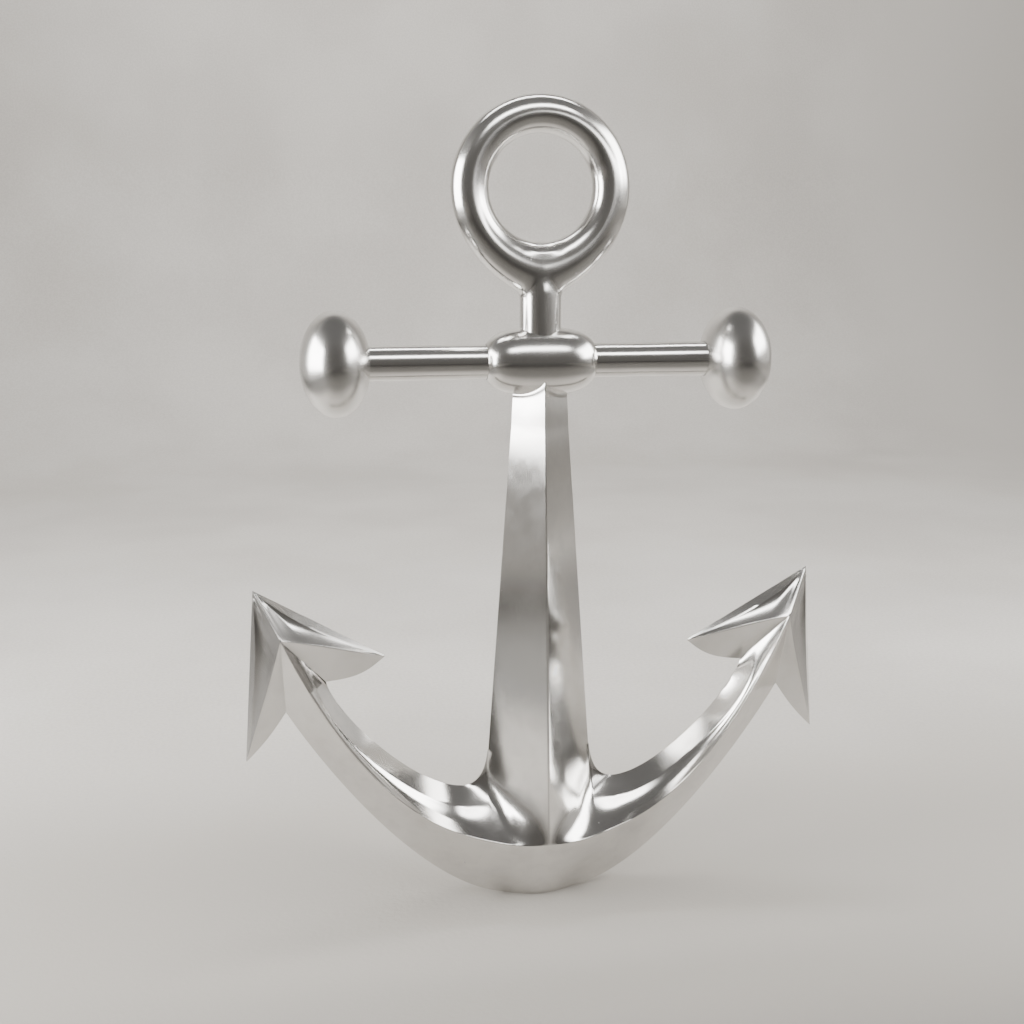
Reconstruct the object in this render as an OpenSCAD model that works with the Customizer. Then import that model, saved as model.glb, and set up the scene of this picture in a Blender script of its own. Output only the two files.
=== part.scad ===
// Display anchor of the admiralty pattern: a cast ring and stem, a round stock with ball ends,
// a square shank set cornerwise, crescent arms and two arrowhead flukes, held by hidden hardware.
// Millimetres, +Z up, front towards -Y. The origin is on the floor, under the middle of the crown.

/* [Overall] */
// Height from the floor to the top of the ring
anchor_h = 600; // [540:1:800]
// Distance between the centres of the two flukes
fluke_span = 384; // [330:1:480]
// Height of the fluke centres above the floor
fluke_rise = 219; // [190:1:270]

/* [Ring and stem] */
// Outer diameter of the ring
ring_d = 128; // [110:1:156]
// Diameter of the round bar that the ring is bent from
ring_bar_d = 26.6; // [22:0.1:32]
// Depth that the eye is reamed into the ring bar, which leaves a cylindrical land
eye_ream = 0.3; // [0.2:0.1:0.6]
// Diameter of the stem under the ring
stem_d = 30; // [26:0.5:34]
// Drop from the ring's centre to the axis of the stock
eye_drop = 121.5; // [116:0.5:146]

/* [Stock] */
// Length of the boss along the stock
boss_l = 84; // [70:1:101]
// Largest diameter of the boss
boss_d = 49; // [46:0.5:58]
// Squareness of the boss outline: 2 is an ellipse, higher is fuller
boss_power = 2.8; // [2:0.1:4]
// Diameter of the stock bar
bar_d = 25.2; // [21:0.01:30.5]
// Distance between the centres of the two balls
ball_span = 294; // [250:1:353]
// Length of a ball along the stock
ball_l = 50.5; // [43:0.5:60]
// Diameter of a ball across the stock
ball_d = 75.4; // [64:0.5:90]
// Depth that the bar enters a ball
ball_entry = 4; // [3:0.5:7]

/* [Shank] */
// Width of the shank across its corners at the boss
shank_top_w = 40; // [36:0.5:48]
// Width of the shank across its corners at the crown seam
shank_foot_w = 79; // [66:0.5:90]
// Height of the seam between shank and crown
seam_z = 120; // [114:1:144]
// Diameter of the tenon under the shank
tenon_d = 34; // [28:0.5:38]
// Length of the tenon under the shank
tenon_l = 55; // [46:1:58]

/* [Crown and arms] */
// Length of the flat foot under the crown
foot_l = 88; // [76:1:100]
// Width of the flat foot at its middle
foot_w = 16; // [14:0.5:20]
// Height of the front ridge at the middle of the crown
crown_ridge_z = 58; // [52:1:64]
// Depth of the front ridge before the middle plane, at the middle of the crown
crown_ridge_y = 45; // [42:0.5:54]
// Depth of the front ridge if the arm ran on to the middle of the crown without its swelling
arm_ridge_y = 36; // [30:0.5:40]
// Half length of the swelling of the ridge at the crown
swell_l = 62; // [52:1:74]
// Distance from the middle to the lowest point of the inner edge
crotch_x = 58.5; // [52:0.5:64]
// Height of the lowest point of the inner edge
crotch_z = 91.7; // [84:0.5:98]

/* [Flukes] */
// Angle of a fluke's axis above the floor
fluke_tilt = 62; // [56:1:68]
// Half angle between a fluke's two outer edges
fluke_half = 32.2; // [28:0.2:36]
// Length from a fluke's centre to its point
tip_l = 38.5; // [32:0.5:46]
// Length of the outer edge from the point to the inner barb
inner_edge = 109; // [91:1:130]
// Length of the outer edge from the point to the outer barb
outer_edge = 131; // [110:1:157]
// Depth of a fluke's centre before the middle plane
fluke_ridge_y = 18; // [16:0.5:22]
// Width of the bevelled rim around a fluke
rim_w = 6; // [4:0.5:8]
// Depth of the rim before the middle plane
rim_y = 7; // [5:0.5:9]
// Distance from a fluke's centre to the notch at the arm's inner edge
inner_notch = 49.7; // [44:0.5:56]
// Distance from a fluke's centre to the notch at the arm's outer edge
outer_notch = 60; // [52:0.5:68]

/* [Hardware] */
// Diameter of the tie stud through stem, bar and shank head
tie_d = 10; // [8:0.5:12]
// Length that the tie stud reaches into the stem and into the shank
tie_grip = 25; // [18:1:32]
// Diameter of the spigots of stem and shank in the boss
spigot_d = 20; // [18:0.5:22]
// Diameter of the studs between bar and balls
ball_stud_d = 12; // [10:0.5:14]
// Length of a ball stud in the bar and in the ball
ball_stud_l = 22; // [18:1:26]
// Diameter of the two crown pins
crown_pin_d = 8; // [6:0.5:10]
// Distance of each crown pin from the middle
crown_pin_x = 8.5; // [7:0.5:10]
// Diameter of the studs between arms and flukes
fluke_stud_d = 10; // [8:0.5:12]
// Length of a fluke stud in the fluke
fluke_stud_out = 20; // [16:1:22]
// Length of a fluke stud in the arm
fluke_stud_in = 26; // [20:1:32]
// Thread diameter of the fluke screws
fluke_screw_d = 4; // [3:0.5:5]
// Thread diameter of the draw bolt
draw_d = 6; // [5:0.5:7]
// Length that the draw bolt reaches into the tenon
draw_grip = 10.2; // [8:0.1:16]

/* [Clearances] */
// Radial clearance of pins, studs and spigots in their bores
fit_gap = 0.15; // [0.05:0.05:0.3]
// Gap between two castings at a seam
seam_gap = 0.1; // [0.05:0.05:0.3]
// Clearance past the end of a stud, pin or tenon in a blind bore
end_gap = 0.5; // [0.3:0.1:0.9]

/* [Hidden] */
$fn = 64;

// Castings and hardware
casting = "silver";
steel = "slategray";

// Heights
ring_z = anchor_h - ring_d / 2;
stock_z = ring_z - eye_drop;
ring_r = (ring_d - ring_bar_d) / 2;
eye_r = ring_d / 2 - ring_bar_d + eye_ream;
boss_bottom = stock_z - boss_d / 2;
boss_top = stock_z + boss_d / 2;
// The spigots stop just short of the bar
spigot_low_z = stock_z - bar_d / 2 - end_gap;
spigot_high_z = stock_z + bar_d / 2 + end_gap;

// Stock
ball_x = ball_span / 2;
ball_face = ball_x - ball_l / 2 + ball_entry;
bar_half = ball_face - seam_gap;

// Shank
tenon_end_z = seam_z - tenon_l;
crown_pin_z = seam_z - tenon_l * 0.48;
// The crown pins end before the front of the tenon
crown_pin_front = -tenon_d / 2 + 5;
draw_head_d = draw_d * 5 / 3;
draw_head_h = draw_d;
draw_washer_d = draw_head_d + 0.4;
draw_washer_h = 1.2;
draw_cb_d = draw_head_d + 1;
draw_cb_h = draw_head_h + draw_washer_h + 2;
draw_top_z = tenon_end_z + draw_grip;

// Flukes: centre, point, barbs and notches in the XZ plane, right-hand side
fluke_c = [fluke_span / 2, fluke_rise];
function dir(a) = [cos(a), sin(a)];
point = fluke_c + tip_l * dir(fluke_tilt - 1);
inner_barb = point + inner_edge * dir(180 + fluke_tilt - fluke_half);
outer_barb = point + outer_edge * dir(180 + fluke_tilt + fluke_half);
notch_in = fluke_c + inner_notch * dir(fluke_tilt + 168);
notch_out = fluke_c + outer_notch * dir(fluke_tilt + 206);
// The stud lies midway between the two seats of the arm's end
stud_tilt = fluke_tilt + 7;
screw_at = fluke_c + 9 * dir(stud_tilt);
screw_y = fluke_ridge_y * 0.72;
screw_head_d = fluke_screw_d * 1.7;
screw_head_h = fluke_screw_d;

// Half thickness that is left at a sharp edge
edge_land = 0.25;
// Places of the hollow and the shoulder on the way from the ridge to the inner edge
hollow_t = 0.45;
shoulder_t = 0.8;

// Curves
function lerp(a, b, t) = a + (b - a) * t;
function bez(p, t) = pow(1 - t, 3) * p[0] + 3 * pow(1 - t, 2) * t * p[1]
                     + 3 * (1 - t) * t * t * p[2] + pow(t, 3) * p[3];
// Parameter at which a curve reaches x, by halving
function t_at(p, x, lo = 0, hi = 1, n = 22) =
    n == 0 ? (lo + hi) / 2
    : let(m = (lo + hi) / 2) bez(p, m)[0] < x ? t_at(p, x, m, hi, n - 1) : t_at(p, x, lo, m, n - 1);

foot_half = foot_l / 2;
outer_curve = [[foot_half, 0], [foot_half, 0] + 48 * dir(22), notch_out - 52 * dir(60), notch_out];
inner_curve = [[crotch_x, crotch_z], [crotch_x + 35, crotch_z], notch_in - 27 * dir(78), notch_in];
ridge_curve = [[0, crown_ridge_z], [30, crown_ridge_z], fluke_c - 194 * dir(66), fluke_c];
fillet_curve = [[shank_foot_w / 2, seam_z], [shank_foot_w / 2 + 1.5, seam_z - 15],
                [shank_foot_w / 2 + 6, crotch_z], [crotch_x, crotch_z]];

// Depth of the front ridge: an even taper, swollen at the crown
function ridge_y(x) =
    lerp(arm_ridge_y, fluke_ridge_y, x / fluke_c[0])
    + (x < swell_l ? (crown_ridge_y - arm_ridge_y) * (1 + cos(180 * x / swell_l)) / 2 : 0);

// One closed section of the arms, from the outer edge over the ridge to the inner edge and back
function section(outer, foot, ridge, hollow, shoulder, inner) =
    let(front = [[outer[0], -foot, outer[1]], [ridge[0], -ridge[2], ridge[1]],
                 [hollow[0], -hollow[2], hollow[1]], [shoulder[0], -shoulder[2], shoulder[1]],
                 [inner[0], -edge_land, inner[1]]])
    concat(front, [for (i = [4:-1:0]) [front[i][0], -front[i][1], front[i][2]]]);

// Crown sections under the shank, at distance x from the middle
function crown_section(x) =
    let(ridge = bez(ridge_curve, t_at(ridge_curve, x)), d = ridge_y(x),
        seat = max(edge_land * 2, shank_foot_w / 2 - x))
    section([x, 0], foot_w / 2 * (1 - pow(x / foot_half, 2)) + edge_land,
            [x, ridge[1], d],
            [x, lerp(ridge[1], seam_z, hollow_t), lerp(d, seat, 0.62)],
            [x, seam_z, seat], [x, seam_z]);

// Sections through the fillet between shank and arm
function fillet_section(t) =
    let(top = bez(fillet_curve, t), x = top[0],
        ridge = bez(ridge_curve, t_at(ridge_curve, x)), d = ridge_y(x),
        foot = x < foot_half, low = foot ? [x, 0] : bez(outer_curve, t_at(outer_curve, x)))
    section(low, (foot ? foot_w / 2 * (1 - pow(x / foot_half, 2)) : 0) + edge_land,
            [x, ridge[1], d],
            [x, lerp(ridge[1], top[1], hollow_t), lerp(d, edge_land, lerp(0.6, hollow_t, t))],
            [x, lerp(ridge[1], top[1], shoulder_t), lerp(d, edge_land, lerp(0.9, shoulder_t, t))],
            top);

// Sections along the free arm, from the crotch to the fluke
function arm_section(t) =
    let(t_out = lerp(t_at(outer_curve, crotch_x), 1, t),
        t_ridge = lerp(t_at(ridge_curve, crotch_x), 1, t),
        low = bez(outer_curve, t_out), ridge = bez(ridge_curve, t_ridge),
        top = bez(inner_curve, t), d = ridge_y(ridge[0]),
        crest = [ridge[0], ridge[1], d], rim = [top[0], top[1], edge_land])
    section(low, edge_land, crest, lerp(crest, rim, hollow_t), lerp(crest, rim, shoulder_t), top);

crown_steps = 5;
fillet_steps = 6;
arm_steps = 20;
half_sections = concat(
    [for (i = [1:crown_steps]) crown_section((shank_foot_w / 2 - 0.6) * i / crown_steps)],
    [for (i = [0:fillet_steps - 1]) fillet_section((i + 0.5) / fillet_steps)],
    [for (i = [0:arm_steps]) arm_section(i / arm_steps)]);
function flipped(ring) = [for (p = ring) [-p[0], p[1], p[2]]];
arm_sections = concat(
    [for (i = [len(half_sections) - 1:-1:0]) flipped(half_sections[i])],
    [crown_section(0)], half_sections);

// Solid through a list of closed sections, each with the same number of points
module loft(rings) {
    n = len(rings[0]);
    last = (len(rings) - 1) * n;
    sides = [for (r = [0:len(rings) - 2], i = [0:n - 1], k = [0, 1])
        let(a = r * n + i, b = r * n + (i + 1) % n)
        k == 0 ? [a, a + n, b] : [b, a + n, b + n]];
    polyhedron([for (ring = rings) each ring],
               concat([[for (i = [0:n - 1]) i]], sides, [[for (i = [n - 1:-1:0]) last + i]]),
               convexity = 8);
}

// Cylinder from a height upward, along Y from the front, and along a direction in the XZ plane
module rod_z(d, z0, z1) { translate([0, 0, z0]) cylinder(d = d, h = z1 - z0); }
module rod_y(d, y0, y1) { translate([0, y0, 0]) rotate([-90, 0, 0]) cylinder(d = d, h = y1 - y0); }
module rod_x(d, x0, x1) { translate([x0, 0, 0]) rotate([0, 90, 0]) cylinder(d = d, h = x1 - x0); }
module along_stud(d, a0, a1) {
    translate([fluke_c[0], 0, fluke_c[1]]) rotate([0, 90 - stud_tilt, 0]) rod_z(d, a0, a1);
}

// Boss outline as a solid of revolution about the stock
module barrel(grow = 0) {
    a = boss_l / 2;
    b = boss_d / 2;
    steps = 24;
    translate([0, 0, stock_z]) rotate([0, 90, 0]) rotate_extrude()
        polygon(concat([[0, -a - grow]],
            [for (i = [1:steps - 1]) let(u = -90 + 180 * i / steps)
                [b * pow(cos(u), 2 / boss_power) + grow,
                 sign(u) * (a + grow) * pow(abs(sin(u)), 2 / boss_power)]],
            [[0, a + grow]]));
}

module ring_eye() {
    color(casting) difference() {
        union() {
            translate([0, 0, ring_z]) rotate([90, 0, 0])
                rotate_extrude() translate([ring_r, 0]) circle(d = ring_bar_d);
            difference() {
                rod_z(stem_d, stock_z, ring_z - ring_r);
                barrel(seam_gap);
            }
            // Throat: the web that fills the corners between stem and ring
            rotate([90, 0, 0]) linear_extrude(height = ring_bar_d * 0.7, center = true)
                polygon([for (p = [[-0.5, -8], [0.5, -8], [0.82, 3], [0.82, 9], [-0.82, 9], [-0.82, 3]])
                    [p[0] * stem_d, ring_z - ring_d / 2 + p[1]]]);
            rod_z(spigot_d, spigot_high_z, boss_top + 2);
        }
        translate([0, 0, ring_z]) rod_y(2 * eye_r, -ring_bar_d, ring_bar_d);
        rod_z(tie_d + 2 * fit_gap, stock_z, spigot_high_z + tie_grip + end_gap);
    }
}

module stock_boss() {
    color(casting) difference() {
        barrel();
        translate([0, 0, stock_z]) rod_x(bar_d + 2 * fit_gap, -boss_l, boss_l);
        rod_z(spigot_d + 2 * fit_gap, boss_bottom - 1, boss_top + 1);
    }
}

module stock_bar() {
    color(casting) difference() {
        translate([0, 0, stock_z]) rod_x(bar_d, -bar_half, bar_half);
        rod_z(tie_d + 2 * fit_gap, boss_bottom, boss_top);
        for (side = [-1, 1]) translate([side * bar_half, 0, stock_z])
            rod_x(ball_stud_d + 2 * fit_gap, -ball_stud_l - end_gap, ball_stud_l + end_gap);
    }
}

// Oblate ball, turned about the stock and bored for the bar and its stud
module ball() {
    steps = 28;
    translate([0, 0, stock_z]) difference() {
        translate([ball_x, 0, 0]) rotate([0, 90, 0]) rotate_extrude()
            polygon([for (i = [0:steps]) let(u = -90 + 180 * i / steps)
                [i == 0 || i == steps ? 0 : ball_d / 2 * cos(u), ball_l / 2 * sin(u)]]);
        rod_x(bar_d + 2 * fit_gap, ball_face - 2 * ball_entry, ball_face);
        rod_x(ball_stud_d + 2 * fit_gap, ball_face - 1, ball_face + ball_stud_l + end_gap);
    }
}
module stock_ball_right() { color(casting) ball(); }
module stock_ball_left() { color(casting) mirror([1, 0, 0]) ball(); }

// Stud between the bar and a ball, with chamfered ends
module ball_stud() {
    half = ball_stud_l - 0.5;
    translate([ball_face, 0, stock_z]) rod_x(ball_stud_d, -half, half);
}
module ball_stud_right() { color(steel) ball_stud(); }
module ball_stud_left() { color(steel) mirror([1, 0, 0]) ball_stud(); }

module tie_stud() {
    color(steel) rod_z(tie_d, spigot_low_z - tie_grip, spigot_high_z + tie_grip);
}

module shank() {
    head = stock_z - boss_d / 4;
    slope = (shank_foot_w - shank_top_w) / (boss_bottom - seam_z);
    color(casting) difference() {
        union() {
            difference() {
                translate([0, 0, seam_z]) cylinder(d1 = shank_foot_w,
                    d2 = shank_foot_w - slope * (head - seam_z), h = head - seam_z, $fn = 4);
                barrel(seam_gap);
            }
            rod_z(spigot_d, boss_bottom - 4, spigot_low_z);
            rod_z(tenon_d, tenon_end_z, seam_z + 2);
        }
        rod_z(tie_d + 2 * fit_gap, spigot_low_z - tie_grip - end_gap, stock_z);
        for (side = [-1, 1]) translate([side * crown_pin_x, 0, crown_pin_z])
            rod_y(crown_pin_d + 2 * fit_gap, crown_pin_front - end_gap, tenon_d);
        rod_z(draw_d + 2 * fit_gap, tenon_end_z - 1, draw_top_z + end_gap);
    }
}

module crown_pins() {
    back = crown_ridge_y * 0.62;
    color(steel) for (side = [-1, 1])
        translate([side * crown_pin_x, 0, crown_pin_z]) rod_y(crown_pin_d, crown_pin_front, back);
}

module draw_bolt() {
    seat = draw_cb_h - draw_washer_h;
    color(steel) difference() {
        union() {
            rod_z(draw_head_d, seat - draw_head_h, seat);
            rod_z(draw_d, seat - 0.5, draw_top_z);
        }
        // Hexagon socket
        translate([0, 0, seat - draw_head_h - 1])
            cylinder(d = draw_d, h = draw_head_h / 2 + 1, $fn = 6);
    }
}

module draw_washer() {
    color(steel) difference() {
        rod_z(draw_washer_d, draw_cb_h - draw_washer_h, draw_cb_h);
        rod_z(draw_d + 2 * fit_gap, draw_cb_h - draw_washer_h - 1, draw_cb_h + 1);
    }
}

module arms() {
    color(casting) difference() {
        loft(arm_sections);
        // Level seat for the shank
        translate([-shank_foot_w, -shank_foot_w, seam_z - seam_gap])
            cube([2 * shank_foot_w, 2 * shank_foot_w, 10]);
        rod_z(tenon_d + 2 * fit_gap, tenon_end_z - end_gap, seam_z + 1);
        rod_z(draw_d + 2 * fit_gap, -1, tenon_end_z);
        rod_z(draw_cb_d, -1, draw_cb_h);
        for (side = [-1, 1]) translate([side * crown_pin_x, 0, crown_pin_z])
            rod_y(crown_pin_d + 2 * fit_gap, 0, 2 * crown_ridge_y);
        for (side = [0, 1]) mirror([side, 0, 0])
            along_stud(fluke_stud_d + 2 * fit_gap, -fluke_stud_in - end_gap, 10);
    }
}

// One wing of a fluke, from the fluke's centre line out to its barb.
// Each section runs from the outer edge over the rim and the ridge to the rear edge. The two
// wings wind opposite ways, so the outer one lists its sections from the barb inwards.
module wing(barb, notch, bend, bow, outer = false) {
    steps = 14;
    inward = (fluke_c - lerp(point, barb, 0.5)) / norm(fluke_c - lerp(point, barb, 0.5));
    ridge = [fluke_c, lerp(fluke_c, barb, 0.33) + bend * inward, lerp(fluke_c, barb, 0.66), barb];
    away = (notch - point) / norm(notch - point);
    split = 0.4;
    rings = [for (i = [0:steps])
        let(s = i / steps * 0.99, r = sin(180 * min(0.995, max(0.02, s))),
            edge = lerp(point, barb, s), rim = edge + inward * (rim_w * r + 0.3),
            crest = bez(ridge, s), crest_y = lerp(fluke_ridge_y, 0.8, s),
            rim_at = 1 + (rim_y - 1) * r * (1 - 0.4 * s),
            u = s / split, v = (s - split) / (1 - split),
            rear = s < split ? lerp(fluke_c, notch, max(0.01, u))
                             : lerp(notch, barb, v) + away * bow * sin(180 * v),
            rear_y = s < split ? lerp(fluke_ridge_y, edge_land, max(0.01, u)) : edge_land,
            front = [[edge, edge_land], [rim, rim_at], [crest, max(crest_y, rim_at * 0.9)],
                     [rear, rear_y]],
            one = [for (p = front) [p[0][0], -p[1], p[0][1]]])
        concat(one, [for (k = [3:-1:0]) [one[k][0], -one[k][1], one[k][2]]])];
    loft(outer ? [for (i = [steps:-1:0]) rings[i]] : rings);
}

module fluke() {
    difference() {
        translate([seam_gap * cos(fluke_tilt), 0, seam_gap * sin(fluke_tilt)]) union() {
            wing(outer_barb, notch_out, 3, 2, outer = true);
            wing(inner_barb, notch_in, -4, 5);
        }
        along_stud(fluke_stud_d + 2 * fit_gap, -20, fluke_stud_out + end_gap);
        translate([screw_at[0], 0, screw_at[1]]) {
            rod_y(fluke_screw_d + 2 * fit_gap, 0, fluke_ridge_y * 2);
            rod_y(screw_head_d + 2 * fit_gap, screw_y - screw_head_h, fluke_ridge_y * 2);
        }
    }
}
module fluke_right() { color(casting) fluke(); }
module fluke_left() { color(casting) mirror([1, 0, 0]) fluke(); }

// Stud between an arm and its fluke, cross-drilled for the screw
module fluke_stud() {
    difference() {
        along_stud(fluke_stud_d, -fluke_stud_in, fluke_stud_out);
        translate([screw_at[0], 0, screw_at[1]])
            rod_y(fluke_screw_d + 2 * fit_gap, -fluke_stud_d, fluke_stud_d);
    }
}
module fluke_stud_right() { color(steel) fluke_stud(); }
module fluke_stud_left() { color(steel) mirror([1, 0, 0]) fluke_stud(); }

module fluke_screw() {
    translate([screw_at[0], 0, screw_at[1]]) difference() {
        union() {
            rod_y(fluke_screw_d, -fluke_stud_d / 3, screw_y - screw_head_h + 0.5);
            rod_y(screw_head_d, screw_y - screw_head_h + 0.1, screw_y);
        }
        translate([0, screw_y - screw_head_h / 2, 0]) rotate([-90, 0, 0])
            cylinder(d = fluke_screw_d * 0.8, h = screw_head_h, $fn = 6);
    }
}
module fluke_screw_right() { color(steel) fluke_screw(); }
module fluke_screw_left() { color(steel) mirror([1, 0, 0]) fluke_screw(); }

ring_eye();
stock_boss();
stock_bar();
stock_ball_left();
stock_ball_right();
ball_stud_left();
ball_stud_right();
tie_stud();
shank();
crown_pins();
draw_bolt();
draw_washer();
arms();
fluke_left();
fluke_right();
fluke_stud_left();
fluke_stud_right();
fluke_screw_left();
fluke_screw_right();
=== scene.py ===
# A display anchor cast in aluminium and polished: ring and stem, stock with ball ends, square
# shank, crescent arms and two arrowhead flukes, joined by hidden studs, pins and screws.
# Piece sizes are in millimetres, as the castings are drawn; the meshes are made in metres.
from math import cos, hypot, pi, radians, sin, sqrt

import bmesh
import bpy
from mathutils import Matrix, Vector


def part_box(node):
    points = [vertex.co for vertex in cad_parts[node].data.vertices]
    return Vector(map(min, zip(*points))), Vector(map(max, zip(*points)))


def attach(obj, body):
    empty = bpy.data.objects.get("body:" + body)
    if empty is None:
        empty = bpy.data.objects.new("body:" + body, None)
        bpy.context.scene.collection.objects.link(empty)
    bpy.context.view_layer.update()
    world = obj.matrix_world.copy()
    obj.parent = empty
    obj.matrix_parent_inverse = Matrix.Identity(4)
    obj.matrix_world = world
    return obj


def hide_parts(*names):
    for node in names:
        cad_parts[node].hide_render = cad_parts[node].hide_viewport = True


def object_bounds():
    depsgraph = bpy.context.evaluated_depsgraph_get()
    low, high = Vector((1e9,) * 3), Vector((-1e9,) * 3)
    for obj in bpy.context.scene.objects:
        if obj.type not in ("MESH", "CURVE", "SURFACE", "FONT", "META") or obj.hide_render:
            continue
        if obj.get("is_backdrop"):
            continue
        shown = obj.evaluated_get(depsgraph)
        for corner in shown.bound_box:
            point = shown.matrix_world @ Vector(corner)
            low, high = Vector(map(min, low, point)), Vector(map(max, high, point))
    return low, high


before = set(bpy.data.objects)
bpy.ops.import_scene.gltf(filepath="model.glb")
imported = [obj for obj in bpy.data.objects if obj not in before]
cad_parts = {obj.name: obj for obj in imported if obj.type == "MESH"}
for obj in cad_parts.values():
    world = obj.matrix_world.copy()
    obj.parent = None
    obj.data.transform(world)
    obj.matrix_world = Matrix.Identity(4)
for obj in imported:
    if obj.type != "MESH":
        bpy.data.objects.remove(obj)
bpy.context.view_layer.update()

# --- The studio -------------------------------------------------------------------------------
# A pale floor that sweeps up into a far wall, two large soft boxes at the sides, one overhead
# in front and a strip that washes the wall, in a room that is darker before the anchor. The
# polished faces mirror all of these.
MM = 0.001

camera_data = bpy.data.cameras.new("camera")
camera = bpy.data.objects.new("camera", camera_data)
bpy.context.scene.collection.objects.link(camera)
bpy.context.scene.camera = camera
camera.location = (-0.1847, -0.9300, 0.4996)
camera.rotation_euler = (radians(90 - 11.714), 0, radians(-10.007))
camera_data.sensor_width = 36
camera_data.lens = 45.98


class Field:
    """A shader socket that takes part in sums: each operation adds its Math node."""

    def __init__(self, shader, socket):
        self.shader, self.socket = shader, socket

    def math(self, operation, *values):
        return self.shader.node("ShaderNodeMath", {"operation": operation}, dict(enumerate(values)))

    def __add__(self, other):
        return self.math("ADD", self, other)

    def __sub__(self, other):
        return self.math("SUBTRACT", self, other)

    def __rsub__(self, other):
        return self.math("SUBTRACT", other, self)

    def __mul__(self, other):
        return self.math("MULTIPLY", self, other)

    __radd__, __rmul__ = __add__, __mul__

    def between(self, low, high):
        """0 below low, 1 above high, and a smooth step from one to the other."""
        settings = {"interpolation_type": "SMOOTHSTEP"}
        return self.shader.node("ShaderNodeMapRange", settings, {0: self, 1: low, 2: high})


class Shader:
    """Nodes of one material or world, made in the order in which they are asked for."""

    def __init__(self, owner):
        owner.use_nodes = True
        self.tree = owner.node_tree
        self.tree.nodes.clear()

    def node(self, kind, settings=None, inputs=None, output=0):
        """Adds a node: its settings first, then the values or links of its sockets."""
        made = self.tree.nodes.new(kind)
        for key, value in (settings or {}).items():
            setattr(made, key, value)
        for key, value in (inputs or {}).items():
            if isinstance(value, Field):
                self.tree.links.new(value.socket, made.inputs[key])
            elif made.inputs[key].type == "RGBA":
                made.inputs[key].default_value = (*value, 1)
            else:
                made.inputs[key].default_value = value
        return Field(self, made.outputs[output]) if made.outputs else None

    def mix(self, factor, one, other):
        """Colour one where the factor is 0, the other where it is 1."""
        # A mix of colours takes its colours at sockets 6 and 7 and gives its result at 2
        return self.node("ShaderNodeMix", {"data_type": "RGBA"}, {0: factor, 6: one, 7: other}, 2)

    def part(self, vector, axis):
        """One coordinate of a vector: X, Y or Z."""
        return self.node("ShaderNodeSeparateXYZ", None, {"Vector": vector}, axis)


# Room light: dark before and above the anchor, pale greige at the sides, bright behind
world = bpy.data.worlds.new("room")
bpy.context.scene.world = world
room = Shader(world)
ROOM_BACK = (1.25, 1.20, 1.13)
ROOM_LEFT = (0.33, 0.318, 0.302)
ROOM_RIGHT = (0.64, 0.614, 0.576)
ROOM_FRONT = (0.120, 0.113, 0.105)
ROOM_ABOVE = (0.16, 0.155, 0.15)
# Where each tone starts to change into the next and where it has, as the sine of the angle
LEFT_TO_RIGHT = (-0.3, 0.3)
SIDE_TO_BACK = (0.2, 0.75)
SIDE_TO_FRONT = (0.05, 0.75)
LEVEL_TO_ABOVE = (0.35, 0.9)
direction = room.node("ShaderNodeTexCoord", output="Generated")
rightward, backward, upward = (room.part(direction, axis) for axis in "XYZ")
beside = room.mix(rightward.between(*LEFT_TO_RIGHT), ROOM_LEFT, ROOM_RIGHT)
beside = room.mix(backward.between(*SIDE_TO_BACK), beside, ROOM_BACK)
around = room.mix((backward * -1).between(*SIDE_TO_FRONT), beside, ROOM_FRONT)
whole = room.mix(upward.between(*LEVEL_TO_ABOVE), around, ROOM_ABOVE)
background = room.node("ShaderNodeBackground", None, {"Color": whole, "Strength": 1.0})
room.node("ShaderNodeOutputWorld", None, {"Surface": background})


def soft_box(name, place, aim, width, height, glow, edge=0.16, colour=(1.0, 0.985, 0.96)):
    """A rectangular soft box at a place, turned to face the point that it is aimed at. glow is
    how bright its cloth is, and edge the share of it over which the cloth fades out."""
    light = bpy.data.lights.new(name, "AREA")
    light.shape, light.size, light.size_y = "RECTANGLE", width, height
    light.energy = pi * width * height
    cloth = Shader(light)
    where = cloth.node("ShaderNodeNewGeometry", output="Parametric")
    fade = 1
    for axis in "XY":
        along = cloth.part(where, axis)
        fade = along.between(0, edge) * (1 - along.between(1 - edge, 1)) * fade
    lit = cloth.node("ShaderNodeEmission", None, {"Color": colour, "Strength": fade * glow})
    cloth.node("ShaderNodeOutputLight", None, {"Surface": lit})
    lamp = bpy.data.objects.new(name, light)
    lamp.location = place
    lamp.rotation_euler = (Vector(aim) - Vector(place)).to_track_quat("-Z", "Y").to_euler()
    lamp.visible_camera = False
    bpy.context.scene.collection.objects.link(lamp)
    return lamp


def only(lamp, *pieces, but=False):
    """Keeps a lamp's light to some pieces, or with but away from them."""
    group = bpy.data.collections.new(lamp.name + "_lights")
    for piece in pieces:
        group.objects.link(piece)
    lamp.light_linking.receiver_collection = group
    if but:
        for member in group.collection_objects:
            member.light_linking.link_state = "EXCLUDE"


soft_box("left_box", (-1.22, -0.02, 0.67), (0, -0.02, 0.67), 1.15, 0.84, 15, 0.05)
soft_box("right_box", (1.22, -0.28, 1.00), (0, -0.05, 0.40), 1.80, 1.00, 11, 0.28)
top_box = soft_box("top_box", (0.06, -0.98, 1.46), (0, 0, 0.38), 1.40, 0.38, 9)
wall_wash = soft_box("wall_wash", (0, 0.75, 2.7), (0, 2.6, 1.0), 3.0, 0.6, 18)

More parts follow.
